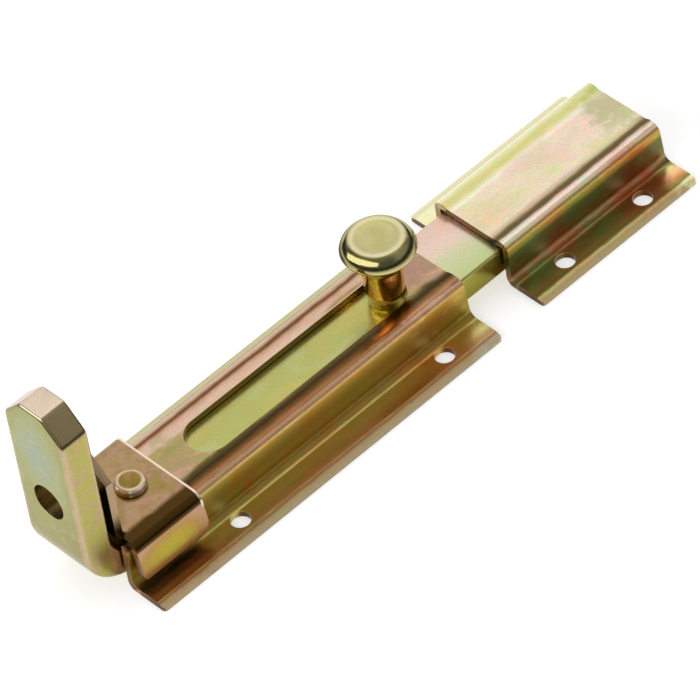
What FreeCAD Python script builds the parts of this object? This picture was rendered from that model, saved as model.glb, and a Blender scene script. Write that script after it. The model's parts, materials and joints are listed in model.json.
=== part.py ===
# Padbolt: a flat sliding bolt with an upturned padlock lug, in a pressed case,
# with a riveted padlock saddle, a turned knob and a separate pressed keep.
# Millimetres. +X runs along the bolt towards the keep, +Z away from the mounting surface.
# The origin is the centre of the case's four screw holes, on the mounting surface.
# The bolt is modelled thrown, with its end in the keep.
import FreeCAD, Part
import math
import os
import Sketcher

os.makedirs("parts", exist_ok=True)

doc = FreeCAD.newDocument("padbolt")
sheet = doc.addObject("Spreadsheet::Sheet", "sizes")

SIZES = [
    # flat bolt
    ("bar_width", 20.0, "width of the flat bolt"),
    ("bar_thickness", 8.0, "thickness of the flat bolt"),
    ("bar_lift", 3.5, "room under the bolt for the head of the knob's screw"),
    ("bar_bend", 6.0, "inner radius of the bend into the lug"),
    ("bar_edge", 0.8, "rounding along the bolt's long edges"),
    ("lug_height", 58.0, "top of the lug above the bolt's underside"),
    ("lug_bevel", 6.3, "bevel at the lug's two top corners"),
    ("lug_round", 2.5, "rounding where each bevel ends"),
    ("nose_bevel", 0.7, "bevel round the bolt's locking end"),
    ("travel", 60.0, "stroke from thrown to withdrawn"),
    ("nose_stand", 2.0, "bolt end past the case when withdrawn"),
    ("padlock_hole", 9.8, "diameter of the padlock hole"),
    ("padlock_height", 30.6, "padlock hole above the mounting surface"),
    # hat section shared by the case and the keep
    ("hat_sheet", 1.8, "sheet of the case and the keep"),
    ("roof_gap", 0.2, "bolt to the underside of the roof"),
    ("side_gap", 0.7, "bolt to each side wall"),
    ("flange_width", 10.5, "flange beyond the side wall"),
    ("roof_bend", 0.5, "inner radius between roof and wall"),
    ("foot_bend", 2.3, "radius between wall and flange"),
    ("edge_run", 2.4, "width of the slope along the flange's outer edge"),
    ("edge_drop", 0.7, "fall of that slope"),
    ("flange_corner", 0.9, "rounding of the flange's corners"),
    ("screw_hole", 5.2, "diameter of the mounting holes"),
    # case
    ("case_length", 112.0, "length of the case's flanges"),
    ("case_setback", 4.0, "roof starts behind the walls' lug end"),
    ("case_bead_rise", 0.7, "case's raised beads above its roof's middle"),
    ("case_bead_width", 4.3, "case's bead measured in from the wall's outer face"),
    ("case_bead_slope", 1.9, "run of the case's step from bead to roof"),
    ("case_bead_soften", 0.5, "rounding at the foot of the case's step"),
    ("case_end_lean", 0.9, "lean of the walls and roof at the case's keep end"),
    ("case_hole_start", 30.5, "first hole from the case's lug end"),
    ("case_hole_pitch", 68.0, "holes along the case"),
    ("case_hole_spread", 34.0, "holes across the case"),
    ("slot_width", 12.0, "width of the knob's slot"),
    ("slot_play", 0.4, "knob to the slot's end at each stop"),
    # keep
    ("door_gap", 14.0, "clear distance between case and keep"),
    ("keep_end_room", 5.5, "keep beyond the thrown bolt's end"),
    ("keep_bead_rise", 0.5, "keep's raised beads above its roof's middle"),
    ("keep_bead_width", 3.2, "keep's bead measured in from the wall's outer face"),
    ("keep_bead_slope", 1.3, "run of the keep's step from bead to roof"),
    ("keep_bead_soften", 0.3, "rounding at the foot of the keep's step"),
    ("keep_end_lean", 0.9, "lean of the walls and roof at the keep's far end"),
    ("keep_hole_pitch", 27.0, "holes along the keep"),
    ("keep_hole_spread", 35.0, "holes across the keep"),
    # padlock saddle
    ("saddle_sheet", 2.0, "sheet of the saddle"),
    ("saddle_reach", 22.3, "saddle's inner end from the case's lug end"),
    ("saddle_start", 1.2, "saddle's wings from the case's lug end"),
    ("saddle_gap", 0.1, "wing to the case's wall"),
    ("saddle_bend", 1.0, "inner radius between saddle roof and wing"),
    ("wing_lift", 1.0, "wing's lower edge above the foot bend"),
    ("wing_splay", 1.6, "outward lean of the wing at its foot"),
    ("wing_corner", 3.2, "rounding of the wing's lower inner corner"),
    ("wing_round", 1.2, "rounding of the wing's other lower corner"),
    ("ear_overhang", 0.2, "ear's outer face past the case's lug end"),
    ("ear_width", 20.0, "width of the upturned ear"),
    ("ear_top", 41.5, "top of the ear above the mounting surface"),
    ("ear_bevel", 7.0, "bevel at the ear's two top corners"),
    ("ear_bend", 1.5, "inner radius of the ear's bend"),
    ("lug_gap", 1.6, "lug to ear"),
    # rivet
    ("rivet_place", 13.6, "rivet from the case's lug end"),
    ("rivet_shank", 5.0, "diameter of the rivet"),
    ("rivet_head", 8.2, "diameter of the rivet's domed head"),
    ("rivet_rise", 2.1, "height of the rivet's head"),
    ("rivet_rim", 0.7, "straight rim under the head's bevel"),
    ("rivet_flat", 5.2, "flat on top of the rivet's head"),
    ("rivet_tail", 0.9, "countersink of the rivet's tail"),
    ("pin_fit", 0.05, "radial clearance of rivet and screw"),
    # knob
    ("knob_place", 14.8, "knob's axis from the case's keep end"),
    ("stem_width", 9.0, "stem that runs in the slot"),
    ("stem_rise", 3.8, "height of the stem above the bolt"),
    ("neck_low", 9.8, "neck's diameter at its foot"),
    ("neck_high", 10.8, "neck's diameter under the head"),
    ("neck_rise", 13.9, "underside of the head above the bolt"),
    ("head_width", 18.9, "diameter of the head"),
    ("head_under", 3.2, "height of the head's conical underside"),
    ("head_rim", 1.8, "height of the head's rim"),
    ("head_crown", 2.4, "rise from the rim to the top ring"),
    ("crown_width", 17.2, "diameter where the crown eases"),
    ("crown_low", 1.1, "rise from the rim to that diameter"),
    ("ring_outer", 14.2, "outer diameter of the top ring"),
    ("ring_inner", 11.6, "inner diameter of the top ring"),
    ("dish_width", 9.4, "floor diameter of the dish"),
    ("dish_depth", 0.6, "depth of the dish in the knob's top"),
    ("neck_flare", 2.2, "rounding between neck and head"),
    ("rim_bevel", 0.6, "bevel of the rim's lower edge"),
    # knob screw
    ("screw_shank", 6.0, "diameter of the knob's screw"),
    ("screw_depth", 9.0, "screw inside the knob"),
    ("screw_end_room", 1.0, "blind hole beyond the screw's end"),
    ("screw_head", 10.0, "diameter of the screw's head"),
    ("screw_head_height", 3.0, "height of the screw's head"),
    ("screw_head_bevel", 0.9, "bevel round the screw's head"),
    ("driver_slot", 1.6, "width of the driver slot"),
    ("driver_depth", 1.4, "depth of the driver slot"),
    # open cuts
    ("cut_margin", 1.0, "outline of an open cut past the faces that it opens"),
]

for row, (word, value, note) in enumerate(SIZES, start=1):
    sheet.set(f"A{row}", word)
    sheet.set(f"B{row}", str(value))
    sheet.set(f"C{row}", note)
    sheet.setAlias(f"B{row}", word)
doc.recompute()


def expand(text):
    """Turn the sizes' own words into references to the sheet."""
    words = [word for word, value, note in SIZES]
    pieces = []
    token = ""
    for letter in text + " ":
        if letter.isalnum() or letter == "_":
            token += letter
            continue
        pieces.append(f"sizes.{token}" if token in words else token)
        pieces.append(letter)
        token = ""
    return "".join(pieces).strip()


def measure(text):
    """Value in millimetres of an expression written with the sizes' words."""
    return float(sheet.evalExpression(expand(text)))


# Places worked out from the sizes. Heights are above the mounting surface.
CASE_LEFT = "(0 - case_hole_start - case_hole_pitch / 2)"
CASE_RIGHT = f"({CASE_LEFT} + case_length)"
KEEP_LEFT = f"({CASE_RIGHT} + door_gap)"
WALL_INNER = "(bar_width / 2 + side_gap)"
WALL_OUTER = f"({WALL_INNER} + hat_sheet)"
FLANGE_OUTER = f"({WALL_OUTER} + flange_width)"
BAR_TOP = "(bar_lift + bar_thickness)"
ROOF_UNDER = f"({BAR_TOP} + roof_gap)"
ROOF_TOP = f"({ROOF_UNDER} + hat_sheet)"
CASE_BEAD_TOP = f"({ROOF_TOP} + case_bead_rise)"
EAR_FACE = f"({CASE_LEFT} - ear_overhang)"
LUG_INNER = f"({EAR_FACE} - lug_gap)"
LUG_OUTER = f"({LUG_INNER} - bar_thickness)"
BAR_END = f"({CASE_RIGHT} + nose_stand + travel)"
KEEP_RIGHT = f"({BAR_END} + keep_end_room)"
KEEP_MIDDLE = f"(({KEEP_LEFT} + {KEEP_RIGHT}) / 2)"
KNOB_AXIS = f"({CASE_RIGHT} - knob_place)"
RIVET_AXIS = f"({CASE_LEFT} + rivet_place)"
SADDLE_TOP = f"({CASE_BEAD_TOP} + saddle_sheet)"


def plane_of(body, role):
    """One of the body's own origin planes."""
    return next(item for item in body.Origin.OriginFeatures if item.Role == role)


def sketch_on(body, name, role, shift=("0", "0", "0")):
    """Sketch on an origin plane; shift moves its own origin along its own axes."""
    sketch = body.newObject("Sketcher::SketchObject", name)
    sketch.AttachmentSupport = (plane_of(body, role), "")
    sketch.MapMode = "FlatFace"
    for axis, text in zip("xyz", shift):
        sketch.setExpression(f"AttachmentOffset.Base.{axis}", expand(text))
    return sketch


def fix_point(sketch, geometry, corner, across, up):
    """Hold one point of the sketch at two expressions."""
    for kind, text, axis_line in (("DistanceX", across, -2), ("DistanceY", up, -1)):
        value = measure(text)
        if abs(value) < 1e-9:
            sketch.addConstraint(Sketcher.Constraint("PointOnObject", geometry, corner, axis_line))
            continue
        index = sketch.addConstraint(Sketcher.Constraint(kind, -1, 1, geometry, corner, value))
        sketch.setExpression(f"Constraints[{index}]", expand(text))


def outline(sketch, points):
    """Closed outline of straight edges through points given as expressions."""
    places = [FreeCAD.Vector(measure(across), measure(up), 0) for across, up in points]
    count = len(points)
    for index in range(count):
        sketch.addGeometry(Part.LineSegment(places[index], places[(index + 1) % count]), False)
    for index in range(count):
        sketch.addConstraint(Sketcher.Constraint("Coincident", index, 2, (index + 1) % count, 1))
    for index, (across, up) in enumerate(points):
        fix_point(sketch, index, 1, across, up)


def circles(sketch, centres, diameter):
    """Circles of one diameter; the first carries it and the others follow."""
    for index, (across, up) in enumerate(centres):
        centre = FreeCAD.Vector(measure(across), measure(up), 0)
        sketch.addGeometry(Part.Circle(centre, FreeCAD.Vector(0, 0, 1), measure(diameter) / 2), False)
        fix_point(sketch, index, 3, across, up)
        if index == 0:
            held = sketch.addConstraint(Sketcher.Constraint("Diameter", 0, measure(diameter)))
            sketch.setExpression(f"Constraints[{held}]", expand(diameter))
        else:
            sketch.addConstraint(Sketcher.Constraint("Equal", 0, index))


def long_slot(sketch, first, last, width):
    """Slot with full round ends between two arc centres on the sketch's own first axis."""
    radius = measure(width) / 2
    near = measure(first)
    far = measure(last)
    normal = FreeCAD.Vector(0, 0, 1)
    start_circle = Part.Circle(FreeCAD.Vector(near, 0, 0), normal, radius)
    end_circle = Part.Circle(FreeCAD.Vector(far, 0, 0), normal, radius)
    sketch.addGeometry(Part.ArcOfCircle(start_circle, math.pi / 2, 3 * math.pi / 2), False)
    sketch.addGeometry(
        Part.LineSegment(FreeCAD.Vector(near, -radius, 0), FreeCAD.Vector(far, -radius, 0)), False)
    sketch.addGeometry(Part.ArcOfCircle(end_circle, -math.pi / 2, math.pi / 2), False)
    sketch.addGeometry(
        Part.LineSegment(FreeCAD.Vector(far, radius, 0), FreeCAD.Vector(near, radius, 0)), False)
    for one, two in ((0, 1), (1, 2), (2, 3), (3, 0)):
        sketch.addConstraint(Sketcher.Constraint("Tangent", one, 2, two, 1))
    sketch.addConstraint(Sketcher.Constraint("Equal", 0, 2))
    fix_point(sketch, 0, 3, first, "0")
    fix_point(sketch, 2, 3, last, "0")
    held = sketch.addConstraint(Sketcher.Constraint("Diameter", 0, 2 * radius))
    sketch.setExpression(f"Constraints[{held}]", expand(width))


def pad(body, name, sketch, length, symmetric=False):
    """Sketch thickened along its normal."""
    feature = body.newObject("PartDesign::Pad", name)
    feature.Profile = sketch
    feature.SideType = "Symmetric" if symmetric else "One side"
    feature.setExpression("Length", expand(length))
    doc.recompute()
    return feature


def cut_through(body, name, sketch):
    """Cut that goes both ways through all of the body."""
    before = body.Shape.Volume
    feature = body.newObject("PartDesign::Pocket", name)
    feature.Profile = sketch
    feature.Type = "ThroughAll"
    feature.SideType = "Symmetric"
    doc.recompute()
    if not feature.Shape.Volume < before:
        raise RuntimeError(f"{name} cuts nothing")
    return feature


def turned(body, name, sketch):
    """Full turn of the sketch about its own upright axis."""
    feature = body.newObject("PartDesign::Revolution", name)
    feature.Profile = sketch
    feature.ReferenceAxis = (sketch, ["V_Axis"])
    feature.Angle = 360.0
    doc.recompute()
    return feature


def straight_edges(feature, direction, places):
    """Names of straight edges along X, Y or Z whose other two coordinates are listed."""
    others = [axis for axis in "xyz" if axis != direction]
    wanted = [tuple(measure(text) for text in place) for place in places]
    names = []
    for number, edge in enumerate(feature.Shape.Edges, start=1):
        if not isinstance(edge.Curve, Part.Line):
            continue
        if abs(abs(getattr(edge.tangentAt(edge.FirstParameter), direction)) - 1) > 1e-6:
            continue
        middle = edge.valueAt((edge.FirstParameter + edge.LastParameter) / 2)
        spot = tuple(getattr(middle, axis) for axis in others)
        if any(math.dist(spot, place) < 1e-3 for place in wanted):
            names.append(f"Edge{number}")
    return names


def round_edges(feature, places):
    """Names of circular edges in level planes, listed by radius and height."""
    wanted = [tuple(measure(text) for text in place) for place in places]
    names = []
    for number, edge in enumerate(feature.Shape.Edges, start=1):
        if not isinstance(edge.Curve, Part.Circle):
            continue
        spot = (edge.Curve.Radius, edge.Curve.Center.z)
        if any(math.dist(spot, place) < 1e-3 for place in wanted):
            names.append(f"Edge{number}")
    return names


def soften(body, name, kind, feature, names, amount):
    """Fillet or chamfer on named edges of the last feature."""
    if not names:
        raise RuntimeError(f"{name} finds no edges")
    result = body.newObject(f"PartDesign::{kind}", name)
    result.Base = (feature, names)
    result.setExpression("Radius" if kind == "Fillet" else "Size", expand(amount))
    doc.recompute()
    return result


def new_body(name):
    body = doc.addObject("PartDesign::Body", name)
    body.Label = name
    return body


def hat_section(body, start, length):
    """Pressed channel with two flanges and a beaded roof, drawn across and padded along X."""
    name = body.Name
    bead_inner = f"({WALL_OUTER} - {name}_bead_width)"
    step_foot = f"({bead_inner} - {name}_bead_slope)"
    half = [
        (FLANGE_OUTER, "0"),
        (FLANGE_OUTER, "(hat_sheet - edge_drop)"),
        (f"({FLANGE_OUTER} - edge_run)", "hat_sheet"),
        (WALL_OUTER, "hat_sheet"),
        (WALL_OUTER, f"({ROOF_TOP} + {name}_bead_rise)"),
        (bead_inner, f"({ROOF_TOP} + {name}_bead_rise)"),
        (step_foot, ROOF_TOP),
    ]
    inside = [
        (step_foot, ROOF_UNDER),
        (bead_inner, f"({ROOF_UNDER} + {name}_bead_rise)"),
        (WALL_INNER, f"({ROOF_UNDER} + {name}_bead_rise)"),
        (WALL_INNER, "0"),
    ]
    mirrored = [(f"(0 - {across})", up) for across, up in half]
    mirrored_inside = [(f"(0 - {across})", up) for across, up in inside]
    section = sketch_on(body, f"{name}_section", "YZ_Plane", ("0", "0", start))
    outline(section, half + mirrored[::-1] + mirrored_inside[::-1] + inside)
    return pad(body, f"{name}_sheet", section, length)


def both_sides(across, up):
    """One longitudinal edge and its mirror image."""
    return [(across, up), (f"(0 - {across})", up)]


def bend_hat(body, feature):
    """Bend radii of the sheet and of the step beside each bead."""
    name = body.Name
    bead_top = f"({ROOF_TOP} + {name}_bead_rise)"
    bead_under = f"({ROOF_UNDER} + {name}_bead_rise)"
    step_foot = f"({WALL_OUTER} - {name}_bead_width - {name}_bead_slope)"
    feature = soften(body, f"{name}_roof_bend_outer", "Fillet", feature,
                     straight_edges(feature, "x", both_sides(WALL_OUTER, bead_top)),
                     "roof_bend + hat_sheet")
    feature = soften(body, f"{name}_roof_bend_inner", "Fillet", feature,
                     straight_edges(feature, "x", both_sides(WALL_INNER, bead_under)),
                     "roof_bend")
    feature = soften(body, f"{name}_foot_bend_outer", "Fillet", feature,
                     straight_edges(feature, "x", both_sides(WALL_OUTER, "hat_sheet")),
                     "foot_bend")
    feature = soften(body, f"{name}_foot_bend_inner", "Fillet", feature,
                     straight_edges(feature, "x", both_sides(WALL_INNER, "0")),
                     "foot_bend")
    return soften(body, f"{name}_bead_step", "Fillet", feature,
                  straight_edges(feature, "x", both_sides(step_foot, ROOF_TOP)),
                  f"{name}_bead_soften")


def lean_end(body, end):
    """Wall and roof fall back from the flange at the end that faces +X."""
    above = f"({ROOF_TOP} + {body.Name}_bead_rise + cut_margin)"
    lean = sketch_on(body, f"{body.Name}_end_outline", "XZ_Plane")
    outline(lean, [
        (end, "hat_sheet"),
        (f"({end} + cut_margin)", "hat_sheet"),
        (f"({end} + cut_margin)", above),
        (f"({end} - {body.Name}_end_lean)", above),
        (f"({end} - {body.Name}_end_lean)", ROOF_TOP),
    ])
    return cut_through(body, f"{body.Name}_leaning_end", lean)


def four_holes(body, middle, pitch, spread):
    """Rectangle of screw holes through the flanges."""
    holes = sketch_on(body, f"{body.Name}_holes", "XY_Plane")
    centres = [(f"({middle} {along} {pitch} / 2)", f"(0 {across} {spread} / 2)")
               for along in "+-" for across in "+-"]
    circles(holes, centres, "screw_hole")
    return cut_through(body, f"{body.Name}_screw_holes", holes)


# Case: pressed channel, its roof set back at the lug end for the bolt's bend
case = new_body("case")
sheet_metal = hat_section(case, CASE_LEFT, "case_length")
bend_hat(case, sheet_metal)
mouth_outline = sketch_on(case, "case_mouth_outline", "XY_Plane")
outline(mouth_outline, [
    (f"({CASE_LEFT} - cut_margin)", f"(0 - {WALL_INNER})"),
    (f"({CASE_LEFT} + case_setback)", f"(0 - {WALL_INNER})"),
    (f"({CASE_LEFT} + case_setback)", WALL_INNER),
    (f"({CASE_LEFT} - cut_margin)", WALL_INNER),
])
cut_through(case, "case_mouth", mouth_outline)
lean_end(case, CASE_RIGHT)
four_holes(case, "0", "case_hole_pitch", "case_hole_spread")
slot = sketch_on(case, "case_slot_outline", "XY_Plane")
long_slot(slot,
          f"({KNOB_AXIS} - travel - slot_play - stem_width / 2 + slot_width / 2)",
          f"({KNOB_AXIS} + slot_play + stem_width / 2 - slot_width / 2)",
          "slot_width")
cut_through(case, "case_knob_slot", slot)
rivet_seat = sketch_on(case, "case_rivet_outline", "XY_Plane")
circles(rivet_seat, [(RIVET_AXIS, "0")], "rivet_shank + 2 * pin_fit")
pierced = cut_through(case, "case_rivet_hole", rivet_seat)
sunk = soften(case, "case_rivet_countersink", "Chamfer", pierced,
              round_edges(pierced, [("rivet_shank / 2 + pin_fit", ROOF_UNDER)]),
              "rivet_tail")
soften(case, "case_corners", "Fillet", sunk,
       straight_edges(sunk, "z", [(along, across)
                                  for along in (CASE_LEFT, CASE_RIGHT)
                                  for across in (FLANGE_OUTER, f"(0 - {FLANGE_OUTER})")]),
       "flange_corner")

# Keep: a short length of the same channel
keep = new_body("keep")
keep_metal = hat_section(keep, KEEP_LEFT, f"{KEEP_RIGHT} - {KEEP_LEFT}")
bend_hat(keep, keep_metal)
lean_end(keep, KEEP_RIGHT)
keep_drilled = four_holes(keep, KEEP_MIDDLE, "keep_hole_pitch", "keep_hole_spread")
soften(keep, "keep_corners", "Fillet", keep_drilled,
       straight_edges(keep_drilled, "z", [(along, across)
                                          for along in (KEEP_LEFT, KEEP_RIGHT)
                                          for across in (FLANGE_OUTER, f"(0 - {FLANGE_OUTER})")]),
       "flange_corner")

# Flat bolt: one bar bent up at its end into the padlock lug
bolt_bar = new_body("bolt_bar")
bar_side = sketch_on(bolt_bar, "bolt_bar_side", "XZ_Plane")
outline(bar_side, [
    (LUG_OUTER, "bar_lift"),
    (BAR_END, "bar_lift"),
    (BAR_END, BAR_TOP),
    (LUG_INNER, BAR_TOP),
    (LUG_INNER, "(bar_lift + lug_height)"),
    (LUG_OUTER, "(bar_lift + lug_height)"),
])
bar_blank = pad(bolt_bar, "bolt_bar_blank", bar_side, "bar_width", symmetric=True)
bar_inner = soften(bolt_bar, "bolt_bar_bend_inner", "Fillet", bar_blank,
                   straight_edges(bar_blank, "y", [(LUG_INNER, BAR_TOP)]), "bar_bend")
bar_outer = soften(bolt_bar, "bolt_bar_bend_outer", "Fillet", bar_inner,
                   straight_edges(bar_inner, "y", [(LUG_OUTER, "bar_lift")]),
                   "bar_bend + bar_thickness")
lug_cut = soften(bolt_bar, "bolt_bar_lug_bevel", "Chamfer", bar_outer,
                 straight_edges(bar_outer, "x", both_sides("bar_width / 2", "(bar_lift + lug_height)")),
                 "lug_bevel")
lug_soft = soften(bolt_bar, "bolt_bar_lug_round", "Fillet", lug_cut,
                  straight_edges(lug_cut, "x",
                                 both_sides("bar_width / 2", "(bar_lift + lug_height - lug_bevel)")
                                 + both_sides("(bar_width / 2 - lug_bevel)", "(bar_lift + lug_height)")),
                  "lug_round")
bar_soft = soften(bolt_bar, "bolt_bar_long_edges", "Fillet", lug_soft,
                  straight_edges(lug_soft, "x",
                                 both_sides("bar_width / 2", "bar_lift")
                                 + both_sides("bar_width / 2", BAR_TOP)),
                  "bar_edge")
soften(bolt_bar, "bolt_bar_nose", "Chamfer", bar_soft,
       straight_edges(bar_soft, "y", [(BAR_END, "bar_lift"), (BAR_END, BAR_TOP)])
       + straight_edges(bar_soft, "z", [(BAR_END, "bar_width / 2"), (BAR_END, "(0 - bar_width / 2)")]),
       "nose_bevel")
bar_padlock = sketch_on(bolt_bar, "bolt_bar_padlock_outline", "YZ_Plane")
circles(bar_padlock, [("0", "padlock_height")], "padlock_hole")
cut_through(bolt_bar, "bolt_bar_padlock_hole", bar_padlock)
bar_screw = sketch_on(bolt_bar, "bolt_bar_screw_outline", "XY_Plane")
circles(bar_screw, [(KNOB_AXIS, "0")], "screw_shank + 2 * pin_fit")
cut_through(bolt_bar, "bolt_bar_screw_hole", bar_screw)

# Padlock saddle: roof and ear in one strip, then the splayed wings over the case's walls
WING_INNER = f"({WALL_OUTER} + saddle_gap)"
WING_OUTER = f"({WING_INNER} + saddle_sheet)"
WING_FOOT = "(hat_sheet + foot_bend + wing_lift)"
WING_LEFT = f"({CASE_LEFT} + saddle_start)"
WING_RIGHT = f"({CASE_LEFT} + saddle_reach)"
saddle = new_body("saddle")
ear_side = sketch_on(saddle, "saddle_ear_side", "XZ_Plane")
outline(ear_side, [
    (EAR_FACE, CASE_BEAD_TOP),
    (WING_RIGHT, CASE_BEAD_TOP),
    (WING_RIGHT, SADDLE_TOP),
    (f"({EAR_FACE} + saddle_sheet)", SADDLE_TOP),
    (f"({EAR_FACE} + saddle_sheet)", "ear_top"),
    (EAR_FACE, "ear_top"),
])
ear_blank = pad(saddle, "saddle_ear_blank", ear_side, "ear_width", symmetric=True)
ear_inner = soften(saddle, "saddle_ear_bend_inner", "Fillet", ear_blank,
                   straight_edges(ear_blank, "y", [(f"({EAR_FACE} + saddle_sheet)", SADDLE_TOP)]),
                   "ear_bend")
ear_outer = soften(saddle, "saddle_ear_bend_outer", "Fillet", ear_inner,
                   straight_edges(ear_inner, "y", [(EAR_FACE, CASE_BEAD_TOP)]),
                   "ear_bend + saddle_sheet")
soften(saddle, "saddle_ear_bevel", "Chamfer", ear_outer,
       straight_edges(ear_outer, "x", both_sides("ear_width / 2", "ear_top")), "ear_bevel")
wing_section = sketch_on(saddle, "saddle_wing_section", "YZ_Plane", ("0", "0", WING_LEFT))
outline(wing_section, [
    (f"({WING_OUTER} + wing_splay)", WING_FOOT),
    (WING_OUTER, SADDLE_TOP),
    (f"(0 - {WING_OUTER})", SADDLE_TOP),
    (f"(0 - {WING_OUTER} - wing_splay)", WING_FOOT),
    (f"(0 - {WING_INNER} - wing_splay)", WING_FOOT),
    (f"(0 - {WING_INNER})", CASE_BEAD_TOP),
    (WING_INNER, CASE_BEAD_TOP),
    (f"({WING_INNER} + wing_splay)", WING_FOOT),
])
wings = pad(saddle, "saddle_wings", wing_section, "saddle_reach - saddle_start")
wing_bend_in = soften(saddle, "saddle_wing_bend_inner", "Fillet", wings,
                      straight_edges(wings, "x", both_sides(WING_INNER, CASE_BEAD_TOP)), "saddle_bend")
wing_bend = soften(saddle, "saddle_wing_bend_outer", "Fillet", wing_bend_in,
                   straight_edges(wing_bend_in, "x", both_sides(WING_OUTER, SADDLE_TOP)),
                   "saddle_bend + saddle_sheet")
wing_corner = soften(saddle, "saddle_wing_corner", "Fillet", wing_bend,
                     straight_edges(wing_bend, "y", [(WING_RIGHT, WING_FOOT)]), "wing_corner")
soften(saddle, "saddle_wing_round", "Fillet", wing_corner,
       straight_edges(wing_corner, "y", [(WING_LEFT, WING_FOOT)]), "wing_round")
ear_padlock = sketch_on(saddle, "saddle_padlock_outline", "YZ_Plane")
circles(ear_padlock, [("0", "padlock_height")], "padlock_hole")
cut_through(saddle, "saddle_padlock_hole", ear_padlock)
saddle_rivet_seat = sketch_on(saddle, "saddle_rivet_outline", "XY_Plane")
circles(saddle_rivet_seat, [(RIVET_AXIS, "0")], "rivet_shank + 2 * pin_fit")
cut_through(saddle, "saddle_rivet_hole", saddle_rivet_seat)

# Rivet: countersunk tail under the roof, shank, and a bevelled head on the saddle
RIVET_RIM = f"({SADDLE_TOP} + rivet_rim)"
RIVET_CROWN = f"({SADDLE_TOP} + rivet_rise)"
saddle_rivet = new_body("saddle_rivet")
rivet_half = sketch_on(saddle_rivet, "saddle_rivet_half", "XZ_Plane", (RIVET_AXIS, "0", "0"))
outline(rivet_half, [
    ("0", RIVET_CROWN),
    ("0", ROOF_UNDER),
    ("(rivet_shank / 2 + rivet_tail)", ROOF_UNDER),
    ("rivet_shank / 2", f"({ROOF_UNDER} + rivet_tail)"),
    ("rivet_shank / 2", SADDLE_TOP),
    ("rivet_head / 2", SADDLE_TOP),
    ("rivet_head / 2", RIVET_RIM),
    ("rivet_flat / 2", RIVET_CROWN),
])
turned(saddle_rivet, "saddle_rivet_turned", rivet_half)

# Knob: turned stem, waisted neck and dished head, bored blind for its screw
NECK_FOOT = f"({BAR_TOP} + stem_rise)"
NECK_TOP = f"({BAR_TOP} + neck_rise)"
RIM_LOW = f"({NECK_TOP} + head_under)"
RIM_HIGH = f"({RIM_LOW} + head_rim)"
KNOB_TOP = f"({RIM_HIGH} + head_crown)"
BORE_END = f"({BAR_TOP} + screw_depth + screw_end_room)"
BORE = "(screw_shank / 2 + pin_fit)"
knob = new_body("knob")
knob_half = sketch_on(knob, "knob_half", "XZ_Plane", (KNOB_AXIS, "0", "0"))
outline(knob_half, [
    (BORE, BAR_TOP),
    ("stem_width / 2", BAR_TOP),
    ("stem_width / 2", NECK_FOOT),
    ("neck_low / 2", NECK_FOOT),
    ("neck_high / 2", NECK_TOP),
    ("head_width / 2", RIM_LOW),
    ("head_width / 2", RIM_HIGH),
    ("crown_width / 2", f"({RIM_HIGH} + crown_low)"),
    ("ring_outer / 2", KNOB_TOP),
    ("ring_inner / 2", KNOB_TOP),
    ("dish_width / 2", f"({KNOB_TOP} - dish_depth)"),
    ("0", f"({KNOB_TOP} - dish_depth)"),
    ("0", BORE_END),
    (BORE, BORE_END),
])
knob_turned = turned(knob, "knob_turned", knob_half)
knob_flared = soften(knob, "knob_neck_flare", "Fillet", knob_turned,
                     round_edges(knob_turned, [("neck_high / 2", NECK_TOP)]), "neck_flare")
soften(knob, "knob_rim_low", "Chamfer", knob_flared,
       round_edges(knob_flared, [("head_width / 2", RIM_LOW)]), "rim_bevel")

# Knob screw: from below, through the bolt and into the knob
SCREW_END = f"({BAR_TOP} + screw_depth)"
SCREW_FOOT = "(bar_lift - screw_head_height)"
knob_screw = new_body("knob_screw")
screw_half = sketch_on(knob_screw, "knob_screw_half", "XZ_Plane", (KNOB_AXIS, "0", "0"))
outline(screw_half, [
    ("0", SCREW_FOOT),
    ("screw_head / 2", SCREW_FOOT),
    ("screw_head / 2", "bar_lift"),
    ("screw_shank / 2", "bar_lift"),
    ("screw_shank / 2", SCREW_END),
    ("0", SCREW_END),
])
screw_turned = turned(knob_screw, "knob_screw_turned", screw_half)
soften(knob_screw, "knob_screw_head_bevel", "Chamfer", screw_turned,
       round_edges(screw_turned, [("screw_head / 2", SCREW_FOOT)]), "screw_head_bevel")
driver = sketch_on(knob_screw, "knob_screw_driver_outline", "XZ_Plane", (KNOB_AXIS, "0", "0"))
outline(driver, [
    ("(0 - driver_slot / 2)", f"({SCREW_FOOT} - cut_margin)"),
    ("driver_slot / 2", f"({SCREW_FOOT} - cut_margin)"),
    ("driver_slot / 2", f"({SCREW_FOOT} + driver_depth)"),
    ("(0 - driver_slot / 2)", f"({SCREW_FOOT} + driver_depth)"),
])
cut_through(knob_screw, "knob_screw_driver_slot", driver)

doc.recompute()
pieces = [case, saddle, saddle_rivet, bolt_bar, knob, knob_screw, keep]
for item in doc.Objects:
    faults = [state for state in item.State if state in ("Invalid", "Error")]
    if faults:
        raise RuntimeError(f"{item.Name} is {faults}")
for piece in pieces:
    if piece.Shape.isNull() or not piece.Shape.isValid() or len(piece.Shape.Solids) != 1:
        raise RuntimeError(f"{piece.Label} has no single valid solid")
for piece in pieces:
    piece.Shape.exportStep(os.path.join("parts", f"{piece.Label}.step"))
    box = piece.Shape.BoundBox
    print(f"{piece.Label}: volume {piece.Shape.Volume:.1f}, "
          f"x {box.XMin:.2f} to {box.XMax:.2f}, y {box.YMin:.2f} to {box.YMax:.2f}, "
          f"z {box.ZMin:.2f} to {box.ZMax:.2f}")
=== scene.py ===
import json
import math

import bmesh
import bpy
import numpy as np
from mathutils import Matrix, Vector


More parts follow.
